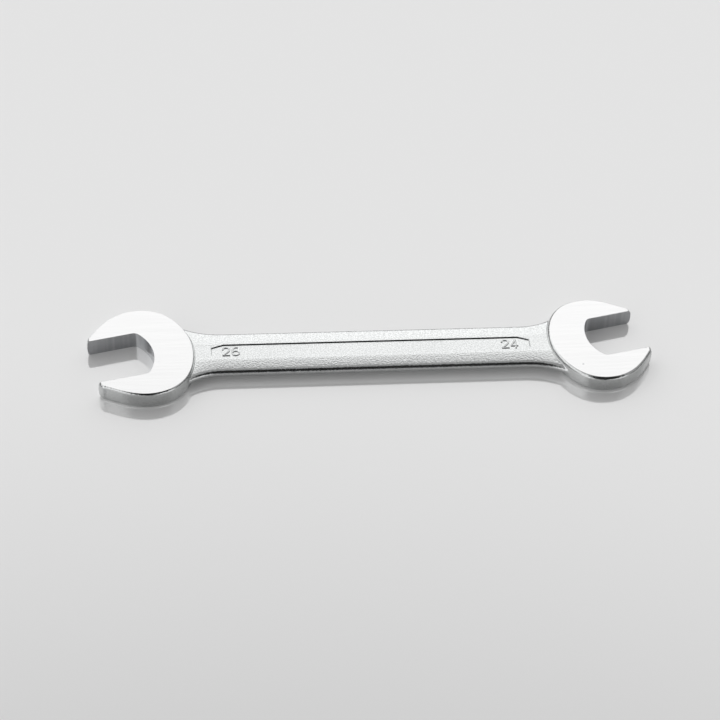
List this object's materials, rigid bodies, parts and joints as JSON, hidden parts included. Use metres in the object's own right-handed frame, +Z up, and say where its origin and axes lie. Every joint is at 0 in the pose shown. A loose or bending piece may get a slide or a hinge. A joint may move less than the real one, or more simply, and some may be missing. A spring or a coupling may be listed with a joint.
{
  "type": "open end wrench",
  "caption": "Double open-end wrench for 26 mm and 24 mm nuts, drop forged in one piece and chrome plated, with angled heads.",
  "frame": {"origin": "under the middle of the wrench's bounding box, on the surface that the larger head rests on", "axes": "+X along the shank from the 26 mm head to the 24 mm head, +Z up out of the faces, +Y across the shank"},
  "size_m": [0.2488, 0.054, 0.0081],
  "materials": {
    "chrome_plated_steel": "satin chrome on the blasted shank, fine ground chrome on the head faces"
  },
  "bodies": {
    "root": {"forged_wrench_body": "chrome_plated_steel"}
  },
  "joints": []
}
